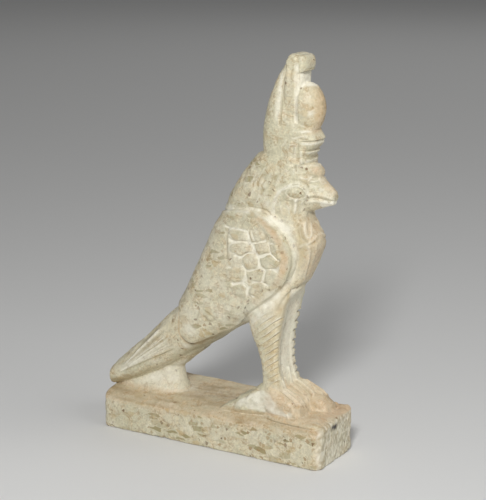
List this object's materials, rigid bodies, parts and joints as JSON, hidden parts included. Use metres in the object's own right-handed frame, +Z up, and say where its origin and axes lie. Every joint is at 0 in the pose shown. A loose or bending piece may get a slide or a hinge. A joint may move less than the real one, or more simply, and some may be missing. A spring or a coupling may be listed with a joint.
{
  "type": "falcon figure",
  "caption": "Standing falcon in a tall crown, carved in one with its long plinth out of pale speckled stone.",
  "frame": {"origin": "middle of the plinth's underside", "axes": "+Z up, +X the way the bird looks, +Y across the plinth"},
  "size_m": [0.064, 0.0188, 0.1],
  "materials": {
    "stone": "hand carved and lightly polished limestone, cream with olive-brown flecks"
  },
  "bodies": {
    "root": {"horus_falcon": "stone"}
  },
  "joints": []
}
